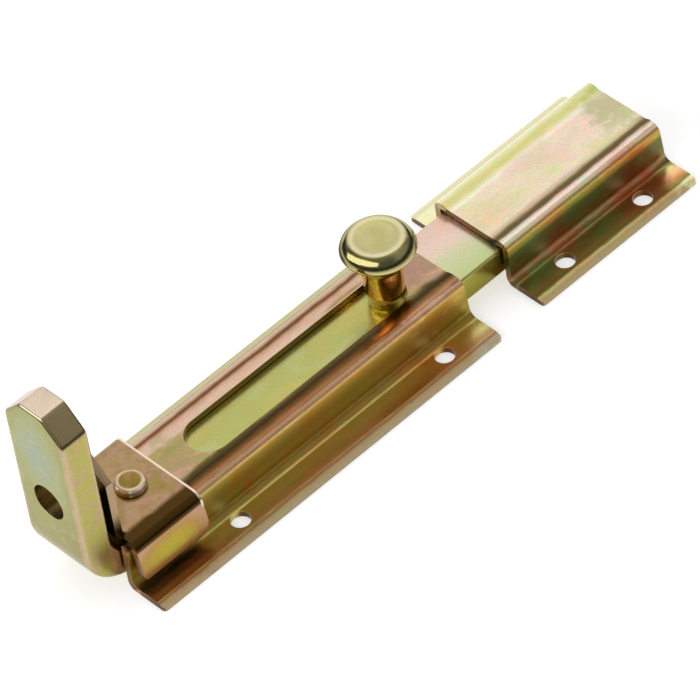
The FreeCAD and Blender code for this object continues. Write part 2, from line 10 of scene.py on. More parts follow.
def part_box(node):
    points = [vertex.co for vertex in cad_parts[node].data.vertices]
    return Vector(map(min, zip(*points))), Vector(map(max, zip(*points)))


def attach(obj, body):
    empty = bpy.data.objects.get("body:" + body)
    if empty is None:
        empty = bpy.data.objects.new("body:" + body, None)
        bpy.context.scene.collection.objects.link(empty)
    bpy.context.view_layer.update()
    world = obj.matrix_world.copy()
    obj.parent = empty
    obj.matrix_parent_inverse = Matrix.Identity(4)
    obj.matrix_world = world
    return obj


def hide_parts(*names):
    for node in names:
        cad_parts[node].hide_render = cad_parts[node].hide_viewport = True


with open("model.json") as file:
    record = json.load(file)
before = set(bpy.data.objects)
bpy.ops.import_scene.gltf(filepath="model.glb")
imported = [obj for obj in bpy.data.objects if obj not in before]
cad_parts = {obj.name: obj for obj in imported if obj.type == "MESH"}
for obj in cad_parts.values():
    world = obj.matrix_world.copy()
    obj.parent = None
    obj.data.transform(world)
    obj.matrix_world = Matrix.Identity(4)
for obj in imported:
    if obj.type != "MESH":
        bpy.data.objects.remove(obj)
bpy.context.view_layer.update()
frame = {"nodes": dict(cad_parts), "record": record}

MM = 0.001


# Node helpers for the plated finishes and the studio

class Nodes:
    """A node tree, with short calls that add a node, set its inputs and give its output back."""

    def __init__(self, tree):
        self.tree = tree

    def node(self, kind, **settings):
        made = self.tree.nodes.new(kind)
        for key, value in settings.items():
            setattr(made, key, value)
        return made

    def wire(self, socket, value):
        """Link an output, or write a plain value on the socket."""
        if isinstance(value, bpy.types.NodeSocket):
            self.tree.links.new(value, socket)
        else:
            socket.default_value = value

    def parts(self, vector):
        """The X, Y and Z parts of a vector."""
        split = self.node("ShaderNodeSeparateXYZ")
        self.wire(split.inputs[0], vector)
        return split.outputs

    def math(self, operation, *values):
        made = self.node("ShaderNodeMath", operation=operation)
        for socket, value in zip(made.inputs, values):
            self.wire(socket, value)
        return made.outputs[0]

    def size(self, value):
        return self.math("ABSOLUTE", value)

    def minus(self, first, second):
        return self.math("SUBTRACT", first, second)

    def add(self, *values):
        total = values[0]
        for value in values[1:]:
            total = self.math("ADD", total, value)
        return total

    def times(self, *values):
        product = values[0]
        for value in values[1:]:
            product = self.math("MULTIPLY", product, value)
        return product

    def reach(self, first, second):
        """Square root of the sum of the two squares."""
        return self.math("SQRT", self.add(self.times(first, first), self.times(second, second)))

    def map_range(self, value, low, high, interpolation):
        """0 at low to 1 at high; low may be the larger one."""
        made = self.node("ShaderNodeMapRange", interpolation_type=interpolation)
        for name, setting in (("Value", value), ("From Min", low), ("From Max", high)):
            self.wire(made.inputs[name], setting)
        return made.outputs["Result"]

    def span(self, value, low, high):
        """Smooth step from 0 at low to 1 at high; low may be the larger one."""
        return self.map_range(value, low, high, "SMOOTHSTEP")

    def band(self, value, middle, half, soft):
        """1 within half of middle, falling to 0 over soft."""
        return self.span(self.size(self.minus(value, middle)), half + soft, half)


class Finish(Nodes):
    """One node material, on Object coordinates x, y and z in metres."""

    def __init__(self, name):
        self.material = bpy.data.materials.new(name)
        self.material.use_nodes = True
        super().__init__(self.material.node_tree)
        self.shader = self.tree.nodes["Principled BSDF"]
        self.place = self.node("ShaderNodeTexCoord").outputs["Object"]
        self.x, self.y, self.z = self.parts(self.place)

    def noise(self, cell, stretch=(1, 1, 1), detail=3.0, rough=0.5, shift=0.0, warp=0.0):
        """Fractal noise about 0.5; cell is its coarsest size in metres, shift moves it to another part."""
        mapping = self.node("ShaderNodeMapping")
        self.wire(mapping.inputs["Vector"], self.place)
        mapping.inputs["Location"].default_value = (shift, shift * 0.7, shift * 1.3)
        mapping.inputs["Scale"].default_value = tuple(1 / s for s in stretch)
        made = self.node("ShaderNodeTexNoise")
        for name, setting in (("Vector", mapping.outputs[0]), ("Scale", 1 / cell), ("Detail", detail),
                              ("Roughness", rough), ("Distortion", warp)):
            self.wire(made.inputs[name], setting)
        return made.outputs["Fac"]

    def sway(self, noise, width):
        """The noise made to swing about 0, so that it moves an edge to and fro over width."""
        return self.times(self.minus(noise, 0.5), width)

    def off_centre(self, *axes):
        """Distance from the middle of an ellipse, 1 on its edge; each axis is (place, middle, half width)."""
        return self.reach(*(self.math("DIVIDE", self.minus(place, middle), half)
                            for place, middle, half in axes))

    def ramp(self, value, stops, low=0.0, high=1.0, unit=1.0):
        """Colour by value between low and high; stops are (place, linear colour). Places, low and high
        are in the given unit, and the value is in metres or plain."""
        made = self.node("ShaderNodeValToRGB")
        bar = made.color_ramp
        while len(bar.elements) < len(stops):
            bar.elements.new(0.5)
        for element, (place, colour) in zip(bar.elements, stops):
            element.position = (place - low) / (high - low)
            element.color = (*colour, 1)
        if (low, high, unit) != (0.0, 1.0, 1.0):
            value = self.map_range(value, low * unit, high * unit, "LINEAR")
        self.wire(made.inputs["Fac"], value)
        return made.outputs["Color"]

    def mix(self, share, first, second, blend="MIX"):
        made = self.node("ShaderNodeMix", data_type="RGBA", blend_type=blend)
        self.wire(made.inputs["Factor"], share)
        for socket, value in ((made.inputs["A"], first), (made.inputs["B"], second)):
            self.wire(socket, value if isinstance(value, bpy.types.NodeSocket) else (*value, 1))
        return made.outputs["Result"]

    def tint(self, share, film, colour):
        """The film times a colour, where share is 1."""
        return self.mix(share, film, colour, "MULTIPLY")

    def direction(self):
        """The X, Y and Z parts of the surface's own direction."""
        return self.parts(self.node("ShaderNodeNewGeometry").outputs["Normal"])

    def relief(self, *layers):
        """Bump from (height in metres, strength) layers, one over the other."""
        below = None
        for height, strength in layers:
            made = self.node("ShaderNodeBump")
            made.inputs["Strength"].default_value = strength
            made.inputs["Distance"].default_value = 1.0
            self.wire(made.inputs["Height"], height)
            if below is not None:
                self.wire(made.inputs["Normal"], below)
            below = made.outputs["Normal"]
        self.wire(self.shader.inputs["Normal"], below)

    def metal(self, colour, roughness):
        self.wire(self.shader.inputs["Base Color"], colour)
        self.wire(self.shader.inputs["Roughness"], roughness)
        self.shader.inputs["Metallic"].default_value = 1.0
        return self.material


# Finishes of the yellow-passivated steel; all colours are linear

CREAM = (0.90, 0.74, 0.58)
OLIVE = (0.42, 0.34, 0.08)
GOLD = (0.58, 0.42, 0.08)
TAN = (0.62, 0.42, 0.24)
PINK_RIM = (0.60, 0.42, 0.30)
LIGHTEST_FILM = (0.97, 0.95, 0.80)
DARK_GRAIN = (0.20, 0.13, 0.05)
LIGHT_GRAIN = (1.20, 1.19, 1.16)
HOLE_SHADE = (0.12, 0.07, 0.02)
END_FACE_SHADE = (0.50, 0.36, 0.26)
SECTION_END = 37


def speckle(f, colour, amount=0.10):
    """Fine light and dark grain of the plated surface; gives the colour and the grain."""
    grain = f.noise(0.35 * MM, detail=2)
    darker = f.mix(f.times(f.span(grain, 0.52, 0.72), amount * 1.6), colour, DARK_GRAIN)
    return f.tint(f.times(f.span(grain, 0.48, 0.30), amount * 3), darker, LIGHT_GRAIN), grain


def stain(f, film, edge, x, y, half_length, half_width, tint, strength):
    """Soft patch about (x, y) in millimetres that tints the film there; the edge noise makes it uneven."""
    away = f.off_centre((f.x, x * MM, half_length * MM), (f.y, y * MM, half_width * MM))
    away = f.add(away, f.sway(edge, 2.4))
    return f.tint(f.times(f.span(away, 1.15, 0.3), strength), film, tint)


def section_finish(name, roof_z, near, far, cloud_edge, clouds, patches, stains, slot_wall_shade=None):
    """Pressed sheet. Colour follows the distance u = |y| + (roof height - z) across the bent section,
    so that each band runs along a bend, with one ramp for the -Y side and one for the +Y side; the
    ramps give the film's colour together with painted highlights and painted dark reflections along
    the bends and beside the slot. Slow clouds shift the roof's colour up to cloud_edge, patches drawn
    out along X tint the -Y wall and flange, and stains tint single places. Then come painted shade on
    the walls of the holes and on the -X end face, painted shade on the slot's walls where a colour is
    given for them, and the grain. Lengths are in millimetres."""
    f = Finish(name)
    slow = f.noise(13 * MM, stretch=(2.0, 1, 1), detail=3, warp=0.5)
    streak = f.noise(12 * MM, stretch=(1.9, 1, 1), detail=4, rough=0.55, shift=0.31, warp=0.8)
    fine = f.noise(2.2 * MM, stretch=(2.5, 1, 1), detail=3, shift=0.11)
    mottle = f.noise(3.2 * MM, stretch=(1.5, 1, 1), detail=4, rough=0.6, shift=0.57, warp=0.4)
    blotch = f.noise(1.1 * MM, stretch=(1.6, 1, 1), detail=3, rough=0.65, shift=0.83)
    across = f.size(f.y)
    nx, _, nz = f.direction()

    u = f.add(across, f.math("MAXIMUM", f.minus(roof_z * MM, f.z), 0.0))
    uneven_u = f.add(u, f.sway(fine, 0.9 * MM))
    # The ramps paint highlights and dark reflections along the bends into the film's colour.
    film = f.mix(f.span(f.y, -1 * MM, 1 * MM),
                 f.ramp(uneven_u, near, 0, SECTION_END, MM), f.ramp(uneven_u, far, 0, SECTION_END, MM))
    on_roof = f.span(u, (cloud_edge + 1) * MM, (cloud_edge - 1) * MM)
    for low, high, colour, strength in clouds:
        film = f.mix(f.times(f.span(slow, low, high), strength, on_roof), film, colour)
    near_wall_and_flange = f.times(f.span(u, 13 * MM, 16 * MM), f.span(u, 33.4 * MM, 32.2 * MM),
                                   f.span(f.y, 1 * MM, -1 * MM))
    for low, high, tint, strength in patches:
        film = f.tint(f.times(f.span(streak, low, high), strength, near_wall_and_flange), film, tint)
    for place in stains:
        film = stain(f, film, mottle, *place)
    film = f.tint(f.times(f.span(mottle, 0.54, 0.68), 0.8), film, (1.14, 0.95, 0.88))
    film = f.tint(f.times(f.span(mottle, 0.46, 0.32), 0.8), film, (0.98, 1.08, 0.92))

    # Painted shade: the upright walls of the screw holes in the flanges are darkened almost to black.
    upright = f.span(f.size(nz), 0.6, 0.3)
    hole_shade = f.times(f.span(f.z, 1.75 * MM, 1.5 * MM), f.span(across, 14 * MM, 15 * MM),
                        f.span(across, 22.4 * MM, 22.0 * MM), upright)
    film = f.mix(f.times(hole_shade, 0.85), film, HOLE_SHADE)
    # Painted shade: faces turned towards -X, the sheet's end faces, are darkened.
    film = f.tint(f.span(nx, -0.4, -0.8), film, END_FACE_SHADE)
    # Painted shade: the slot's upright walls take the given dark colour.
    if slot_wall_shade is not None:
        inside = f.times(f.span(across, 7.4 * MM, 6.6 * MM), f.span(nz, 0.75, 0.45))
        film = f.mix(inside, film, slot_wall_shade)
    film = f.tint(f.span(blotch, 0.48, 0.72), film, (1.09, 0.95, 0.95))
    film = f.tint(f.span(blotch, 0.52, 0.28), film, (0.91, 1.01, 0.96))
    film, grain = speckle(f, f.mix(1.0, film, LIGHTEST_FILM, "DARKEN"))

    wall = f.times(f.span(u, 11.5 * MM, 14 * MM), f.span(u, 28 * MM, 26 * MM))
    f.relief((f.times(grain, 0.005 * MM), 0.35), (f.times(slow, 0.10 * MM), 0.5))
    return f.metal(film, f.add(0.17, f.times(slow, 0.08), f.times(fine, 0.06), f.times(wall, 0.13)))


# Ramps are (u in millimetres, colour); clouds and patches are (noise from, noise to, colour or tint,
# strength); stains are (x, y, half length, half width, tint, strength).

# Besides the film's colour these ramps paint light along the bends: the darkest bands are painted dark
# reflections beside the slot and in the creases, and the pale pink and orange bands are painted highlights on
# the bends.
CASE_NEAR = [
    (0, TAN), (5.8, TAN), (6.5, (0.24, 0.17, 0.05)), (7.2, (0.09, 0.06, 0.012)),
    (8.4, (0.05, 0.025, 0.004)), (8.9, (0.10, 0.05, 0.012)), (9.6, (0.16, 0.07, 0.02)),
    (10.4, (0.28, 0.13, 0.05)), (11.2, (0.38, 0.18, 0.08)), (12.0, (0.76, 0.42, 0.24)),
    (13.2, (0.90, 0.56, 0.30)), (14.2, (0.64, 0.42, 0.12)), (15.6, (0.50, 0.35, 0.06)),
    (17.2, (0.40, 0.27, 0.045)), (19.0, (0.35, 0.23, 0.04)), (21.7, (0.38, 0.27, 0.06)),
    (24.2, (0.46, 0.29, 0.06)), (26.0, (0.28, 0.18, 0.04)), (27.4, (0.90, 0.68, 0.24)),
    (29.5, (0.78, 0.56, 0.21)), (31.4, (0.48, 0.27, 0.08)), (32.4, (0.38, 0.18, 0.06)),
    (32.9, (0.42, 0.23, 0.10)), (33.4, (0.22, 0.12, 0.04)), (33.9, (0.22, 0.13, 0.05)),
    (34.4, (0.33, 0.23, 0.12)), (36.5, (0.36, 0.29, 0.17))]
CASE_FAR = [
    (0, TAN), (5.8, TAN), (6.6, (0.74, 0.55, 0.42)), (7.5, (0.68, 0.46, 0.36)),
    (8.0, (0.62, 0.40, 0.28)), (8.5, (0.46, 0.28, 0.17)), (9.0, (0.20, 0.09, 0.04)),
    (9.5, (0.16, 0.07, 0.03)), (10.0, (0.48, 0.30, 0.19)), (10.5, (0.70, 0.48, 0.34)),
    (11.5, (0.84, 0.62, 0.46)), (12.4, (0.78, 0.58, 0.42)), (14, (0.56, 0.44, 0.22)),
    (16, GOLD), (24, OLIVE), (30, (0.70, 0.62, 0.34)), (36, (0.64, 0.60, 0.36))]
case_plate = section_finish(
    "case_plate", 14.2, CASE_NEAR, CASE_FAR, cloud_edge=6.8,
    clouds=[(0.50, 0.64, (0.60, 0.38, 0.30), 0.8), (0.48, 0.34, (0.48, 0.40, 0.15), 0.7)],
    patches=[(0.52, 0.62, (1.25, 0.72, 0.60), 0.6), (0.47, 0.37, (0.86, 1.06, 0.90), 0.6)],
    stains=[(40, -1, 19, 6.5, (0.72, 0.65, 0.80), 0.95), (36, -10.2, 17, 2.2, (1.65, 1.95, 2.7), 0.85),
            (-38, 0, 13, 8, (0.66, 0.76, 0.58), 0.9), (27, -9, 7, 2.4, (1.5, 1.1, 1.5), 0.8),
            (34, -16, 13, 6, (1.0, 0.66, 0.52), 0.7), (46, -20, 8, 3.5, (1.3, 1.6, 2.4), 0.8),
            (-34, -17, 10, 6, (0.82, 1.04, 0.90), 0.7), (-50, -19, 12, 5, (0.80, 0.62, 0.55), 0.7)],
    slot_wall_shade=(0.26, 0.19, 0.06))

# Besides the film's colour these ramps paint light along the bends: the darkest bands are painted dark
# reflections beside the slot and in the creases, and the pale pink and cream bands are painted highlights on
# the bends.
KEEP_NEAR = [
    (0, CREAM), (6.2, CREAM), (6.9, (0.70, 0.57, 0.42)), (7.5, (0.60, 0.49, 0.34)),
    (8.0, (0.40, 0.29, 0.16)), (8.5, (0.17, 0.12, 0.04)), (9.0, (0.14, 0.09, 0.03)),
    (9.5, (0.20, 0.14, 0.06)), (10.0, (0.68, 0.55, 0.45)), (10.5, (0.86, 0.70, 0.62)),
    (11.2, (0.97, 0.78, 0.68)), (12.2, (0.97, 0.72, 0.46)), (13.2, (0.94, 0.62, 0.22)),
    (14.2, (0.54, 0.32, 0.07)), (15.4, (0.50, 0.40, 0.08)), (16.4, (0.22, 0.21, 0.05)),
    (17.2, (0.15, 0.17, 0.045)), (20.0, (0.18, 0.16, 0.05)), (22.3, (0.30, 0.20, 0.07)),
    (23.4, (0.44, 0.30, 0.13)), (24.0, (0.88, 0.62, 0.30)), (24.7, (0.32, 0.20, 0.07)),
    (25.7, (0.13, 0.08, 0.02)), (27.2, (0.42, 0.44, 0.15)), (29.2, (0.46, 0.40, 0.15)),
    (31.2, (0.32, 0.23, 0.08)), (32.2, (0.21, 0.16, 0.04)), (33.1, (0.12, 0.10, 0.02)),
    (33.7, (0.46, 0.38, 0.16)), (34.2, (0.43, 0.34, 0.16)), (34.8, (0.35, 0.26, 0.12)),
    (36.0, (0.38, 0.30, 0.15))]
KEEP_FAR = [
    (0, CREAM), (6.2, CREAM), (7.0, (0.97, 0.90, 0.76)), (7.6, (0.88, 0.82, 0.60)),
    (8.2, (0.80, 0.76, 0.42)), (9.0, (0.64, 0.60, 0.24)), (9.6, (0.70, 0.67, 0.29)),
    (10.3, (0.84, 0.82, 0.44)), (11.0, (0.96, 0.94, 0.64)), (12.4, (0.96, 0.94, 0.68)),
    (14, (0.76, 0.70, 0.40)), (24, (0.50, 0.42, 0.14)), (26, (0.84, 0.80, 0.42)),
    (30, (0.94, 0.91, 0.54)), (33.2, (0.96, 0.93, 0.60)), (33.8, (0.84, 0.81, 0.50)),
    (36, (0.92, 0.88, 0.60))]
keep_plate = section_finish(
    "keep_plate", 14.0, KEEP_NEAR, KEEP_FAR, cloud_edge=7.6,
    clouds=[(0.50, 0.64, (0.86, 0.64, 0.55), 0.7), (0.50, 0.38, (0.76, 0.72, 0.38), 0.7)],
    patches=[(0.50, 0.62, (1.25, 0.62, 0.70), 0.8), (0.48, 0.38, (1.1, 0.86, 0.80), 0.5)],
    stains=[(112, 2, 10, 9, (0.64, 0.78, 0.54), 0.9), (86, 1, 9, 6, (0.88, 1.0, 0.74), 0.6),
            (66, -2, 8, 5, (1.02, 0.90, 0.96), 0.7), (102, -16, 10, 7, (1.15, 0.48, 0.50), 0.8),
            (88, -15, 9, 5, (0.75, 1.12, 1.0), 0.75), (68, -16, 8, 7, (0.78, 1.12, 1.0), 0.8),
            (77, -17, 6, 6, (1.4, 0.75, 0.80), 0.6), (113.5, -19, 5.5, 5, (2.2, 2.7, 3.2), 0.8)])


def saddle_finish():
    """Bent saddle: tan roof with a painted dark reflection along its -Y bend, wings with a yellow middle
    inside a pink rim and an orange foot, a painted highlight on the cut edge beside the case's roof,
    painted shade on its faces that turn towards -X below the roof, and an ear a little paler than the
    roof."""
    f = Finish("saddle_plate")
    slow = f.noise(7 * MM, detail=3, warp=0.6)
    fine = f.noise(1.6 * MM, detail=3, shift=0.2)
    mottle = f.noise(2.6 * MM, detail=4, rough=0.6, shift=0.6, warp=0.5)

    roof = f.ramp(slow, [(0.34, (0.34, 0.25, 0.08)), (0.46, (0.40, 0.25, 0.12)),
                         (0.54, (0.46, 0.28, 0.17)), (0.66, (0.40, 0.28, 0.11))])
    roof = f.mix(f.times(f.span(mottle, 0.53, 0.66), 0.5), roof, (0.34, 0.17, 0.08))
    roof = f.mix(f.times(f.span(mottle, 0.45, 0.34), 0.35), roof, (0.50, 0.36, 0.18))
    # Painted dark reflection: a near-black band along the roof's -Y bend.
    near_bend_reflection = f.times(f.span(f.add(f.y, f.sway(slow, 1.5 * MM)), -8.9 * MM, -10.7 * MM),
                           f.span(f.z, 11 * MM, 12.5 * MM))
    roof = f.mix(near_bend_reflection, roof, (0.07, 0.036, 0.007))

    off_centre = f.off_centre((f.x, -53.6 * MM, 9.4 * MM), (f.z, 8.8 * MM, 4.2 * MM))
    wing = f.ramp(f.add(off_centre, f.sway(slow, 0.8)),
                  [(0.0, (0.46, 0.38, 0.05)), (0.6, (0.46, 0.34, 0.05)), (1.0, (0.44, 0.26, 0.08)),
                   (1.3, (0.50, 0.29, 0.16)), (1.6, (0.50, 0.30, 0.20))], 0.0, 1.7)
    wing_foot = f.span(f.z, 7.6 * MM, 6.0 * MM)
    wing = f.mix(f.times(wing_foot, 0.85), wing, (0.43, 0.20, 0.055))

    colour = f.mix(f.span(f.z, 14.0 * MM, 13.2 * MM), roof, wing)
    # Painted highlight: a pale strip along the cut edge beside the case's roof.
    cut_edge_highlight = f.times(f.span(f.x, -42.9 * MM, -42.6 * MM), f.span(f.z, 12.0 * MM, 13.5 * MM))
    colour = f.mix(cut_edge_highlight, colour, (0.92, 0.74, 0.60))
    # Painted shade: faces turned towards -X below the roof are darkened.
    lug_end_shade = f.times(f.span(f.direction()[0], -0.5, -0.8), f.span(f.z, 14 * MM, 13 * MM))
    colour = f.tint(lug_end_shade, colour, (0.5, 0.42, 0.4))
    on_ear = f.span(f.z, 20 * MM, 26 * MM)
    colour = f.mix(f.times(on_ear, 0.5), colour, (0.66, 0.48, 0.30))
    colour, grain = speckle(f, colour)
    f.relief((f.times(grain, 0.006 * MM), 0.35), (f.times(slow, 0.10 * MM), 0.5))
    return f.metal(colour, f.add(0.20, f.times(slow, 0.08), f.times(fine, 0.05)))


def bar_finish():
    """Flat bolt: yellow-green where it lies under the slot, pink turning pale green across its open
    length, green sides with painted shade growing darker towards their bottom, and on the lug a
    grey-green middle inside a green face with pink rims."""
    f = Finish("bar_plate")
    slow = f.noise(12 * MM, stretch=(1.6, 1, 1), detail=3, warp=0.5)
    fine = f.noise(2.5 * MM, stretch=(2, 1, 1), detail=3, shift=0.4)
    mottle = f.noise(3.4 * MM, detail=4, rough=0.6, shift=0.8, warp=0.5)
    drift = f.sway(slow, 14 * MM)
    _, ny, nz = f.direction()
    sideways = f.span(f.size(ny), 0.55, 0.85)

    under_slot = f.ramp(slow, [(0.34, (0.56, 0.50, 0.16)), (0.48, (0.48, 0.49, 0.15)),
                               (0.60, (0.52, 0.53, 0.22)), (0.72, (0.46, 0.44, 0.14))])
    open_top = f.ramp(f.add(f.y, f.times(drift, 0.6)),
                      [(-8, (0.56, 0.64, 0.30)), (-3, (0.66, 0.68, 0.42)),
                       (1, (0.84, 0.66, 0.54)), (8, (0.84, 0.62, 0.52))], -10, 10, MM)
    level = f.mix(f.span(f.add(f.x, drift), 42 * MM, 48 * MM), under_slot, open_top)
    # Painted shade: the sides darken towards their bottom.
    side = f.ramp(f.add(f.z, f.times(drift, 0.2)),
                  [(3.5, (0.24, 0.17, 0.02)), (6, (0.27, 0.23, 0.02)),
                   (10, (0.34, 0.31, 0.045)), (11.4, (0.50, 0.43, 0.13))], 3, 12, MM)
    bar = f.mix(sideways, level, side)
    bar = f.tint(f.times(f.span(mottle, 0.50, 0.68), 0.8), bar, (1.10, 0.94, 0.84))

    off_centre = f.off_centre((f.y, 1 * MM, 6.4 * MM), (f.z, 45 * MM, 12.5 * MM))
    face = f.ramp(f.add(off_centre, f.sway(slow, 1.1)),
                  [(0.0, (0.30, 0.35, 0.25)), (0.6, (0.32, 0.36, 0.21)), (1.0, (0.34, 0.36, 0.15)),
                   (1.5, (0.32, 0.31, 0.09)), (2.2, (0.30, 0.27, 0.08))], 0.0, 2.4)
    face_rim = f.span(f.add(f.size(f.y), f.sway(fine, 1.5 * MM)), 8.3 * MM, 9.7 * MM)
    face = f.mix(f.times(face_rim, 0.7), face, PINK_RIM)
    face = f.mix(f.times(f.span(mottle, 0.54, 0.68), 0.35), face, (0.50, 0.42, 0.26))
    lug_side = f.mix(f.times(f.span(mottle, 0.38, 0.68), 0.8), (0.42, 0.40, 0.09), (0.47, 0.33, 0.18))
    from_middle = f.size(f.minus(f.x, -70.3 * MM))
    side_rim = f.span(f.add(from_middle, f.sway(fine, 1.2 * MM)), 2.2 * MM, 3.9 * MM)
    lug_side = f.mix(f.times(side_rim, 0.8), lug_side, PINK_RIM)
    lug_top = f.mix(f.span(slow, 0.40, 0.62), (0.76, 0.62, 0.46), (0.72, 0.56, 0.46))
    lug = f.mix(sideways, face, lug_side)
    lug = f.mix(f.span(nz, 0.4, 0.8), lug, lug_top)
    near_bevel = f.times(f.span(ny, -0.3, -0.5), f.span(nz, 0.3, 0.5))
    lug = f.mix(near_bevel, lug, (0.34, 0.26, 0.13))

    colour, grain = speckle(f, f.mix(f.span(f.x, -58 * MM, -64 * MM), bar, lug), 0.12)
    f.relief((f.times(grain, 0.007 * MM), 0.4), (f.times(slow, 0.08 * MM), 0.5))
    return f.metal(colour, f.add(0.20, f.times(slow, 0.08), f.times(fine, 0.06)))


STEM_FILM = [(0.36, (0.90, 0.70, 0.12)), (0.48, (0.94, 0.66, 0.16)), (0.58, (0.84, 0.46, 0.14))]
TOOL_PITCH = 0.28 * MM


def turned_finish(name, axis_x, shoulder, head_film, painted_rings=(), gloss=0.085):
    """Bright turned steel under a yellow film, with fine tool rings about the piece's own upright axis:
    sine of 2 pi (radius + 0.8 z) over the tool's pitch. The stem's film gives way to the head's between
    the two shoulder heights. A painted ring is (middle radius, half width, soft edge, height that it
    starts at, colour); a pale one is a painted highlight and a dark one a painted dark reflection.
    Lengths are in millimetres, but axis_x in metres."""
    f = Finish(name)
    slow = f.noise(5 * MM, detail=3, warp=0.4)
    radius = f.reach(f.minus(f.x, axis_x), f.y)
    path = f.add(radius, f.times(f.z, 0.8), f.times(slow, 0.25 * MM))
    tool_rings = f.math("SINE", f.times(path, 2 * math.pi / TOOL_PITCH))
    film = f.mix(f.span(f.z, shoulder[0] * MM, shoulder[1] * MM),
                 f.ramp(slow, STEM_FILM), f.ramp(slow, head_film))
    for middle, half, soft, height, colour in painted_rings:
        ring = f.band(radius, middle * MM, half * MM, soft * MM)
        film = f.mix(f.times(ring, f.span(f.z, (height - 1) * MM, height * MM)), film, colour)
    film, grain = speckle(f, film, 0.07)
    f.relief((f.times(grain, 0.004 * MM), 0.3), (f.times(tool_rings, 0.0012 * MM), 0.35),
             (f.times(slow, 0.14 * MM), 0.6))
    return f.metal(film, f.add(gloss, f.times(slow, 0.06)))


# Pieces

SAME_POINT = 2e-6
FLAT_WITHIN = math.radians(0.6)
SHARP_FROM = math.radians(34)

body_of_node = {node: body for body, nodes in frame["record"]["behaviour"]["bodies"].items()
                for node in nodes}


def stand_in(piece, node, finish):
    """Place a finished mesh object for a CAD node: same body, same material slot, node hidden."""
    bpy.context.scene.collection.objects.link(piece)
    piece.data.materials.append(finish)
    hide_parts(node)
    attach(piece, body_of_node[node])


def softened_sheet(node, name, finish, edge):
    """The node's own shape with its triangles joined into whole faces, and every sharp edge rounded
    by a small radius, as tumbled and plated sheet has it."""
    form = bmesh.new()
    form.from_mesh(frame["nodes"][node].data)
    bmesh.ops.remove_doubles(form, verts=form.verts, dist=SAME_POINT)
    bmesh.ops.dissolve_limit(form, angle_limit=FLAT_WITHIN, verts=form.verts, edges=form.edges)
    mesh = bpy.data.meshes.new(name)
    form.to_mesh(mesh)
    form.free()
    mesh.materials.clear()
    mesh.shade_smooth()
    mesh.set_sharp_from_angle(angle=SHARP_FROM)
    piece = bpy.data.objects.new(name, mesh)
    rounding = piece.modifiers.new("plated_edges", "BEVEL")
    rounding.width = edge
    rounding.segments = 3
    rounding.limit_method = "ANGLE"
    rounding.angle_limit = SHARP_FROM
    rounding.harden_normals = True
    rounding.use_clamp_overlap = True
    stand_in(piece, node, finish)


def rounded_profile(corners, steps=7):
    """Profile through (radius, height, rounding) corners: each corner is cut back by its rounding and
    bridged by a quadratic curve, (1-t)^2 A + 2t(1-t) B + t^2 C. Corners are in millimetres."""
    points = np.array([corner[:2] for corner in corners], float)
    path = [points[0]]
    t = np.linspace(0, 1, steps)[:, None]
    for before, here, after, corner in zip(points[:-2], points[1:-1], points[2:], corners[1:-1]):
        if corner[2] == 0:
            path.append(here)
            continue
        back = here + (before - here) * min(0.49, corner[2] / np.linalg.norm(before - here))
        ahead = here + (after - here) * min(0.49, corner[2] / np.linalg.norm(after - here))
        path.extend((1 - t) ** 2 * back + 2 * t * (1 - t) * here + t ** 2 * ahead)
    path.append(points[-1])
    return np.array(path) * MM


def turned_piece(node, name, axis_x, profile, finish, turns=112):
    """Surface of revolution about the upright axis at x = axis_x: each profile point (r, z) becomes the
    ring (axis_x + r cos a, r sin a, z), closed by one point on the axis at each end. The profile runs
    from bottom to top."""
    radius, height = profile[1:-1, 0], profile[1:-1, 1]
    angle = np.arange(turns) * 2 * np.pi / turns
    rings = np.stack([axis_x + np.outer(radius, np.cos(angle)), np.outer(radius, np.sin(angle)),
                      np.repeat(height[:, None], turns, 1)], axis=-1).reshape(-1, 3)
    poles = np.array([[axis_x, 0, profile[0, 1]], [axis_x, 0, profile[-1, 1]]])
    corner = np.arange(turns)
    beside = (corner + 1) % turns
    row = np.arange(len(radius) - 1)[:, None] * turns
    quads = np.stack([row + corner, row + beside, row + turns + beside, row + turns + corner],
                     axis=-1).reshape(-1, 4)
    low_pole = len(rings)
    high_pole = low_pole + 1
    top = low_pole - turns
    low_fan = np.stack([np.full(turns, low_pole), beside, corner], axis=-1)
    high_fan = np.stack([np.full(turns, high_pole), top + corner, top + beside], axis=-1)
    mesh = bpy.data.meshes.new(name)
    mesh.from_pydata(np.vstack([rings, poles]).tolist(), [],
                     quads.tolist() + low_fan.tolist() + high_fan.tolist())
    mesh.update()
    mesh.shade_smooth()
    stand_in(bpy.data.objects.new(name, mesh), node, finish)


softened_sheet("case", "pressed_case", case_plate, 0.34 * MM)
softened_sheet("keep", "pressed_keep", keep_plate, 0.30 * MM)
softened_sheet("saddle", "padlock_saddle", saddle_finish(), 0.40 * MM)
softened_sheet("bolt_bar", "flat_bolt", bar_finish(), 0.25 * MM)

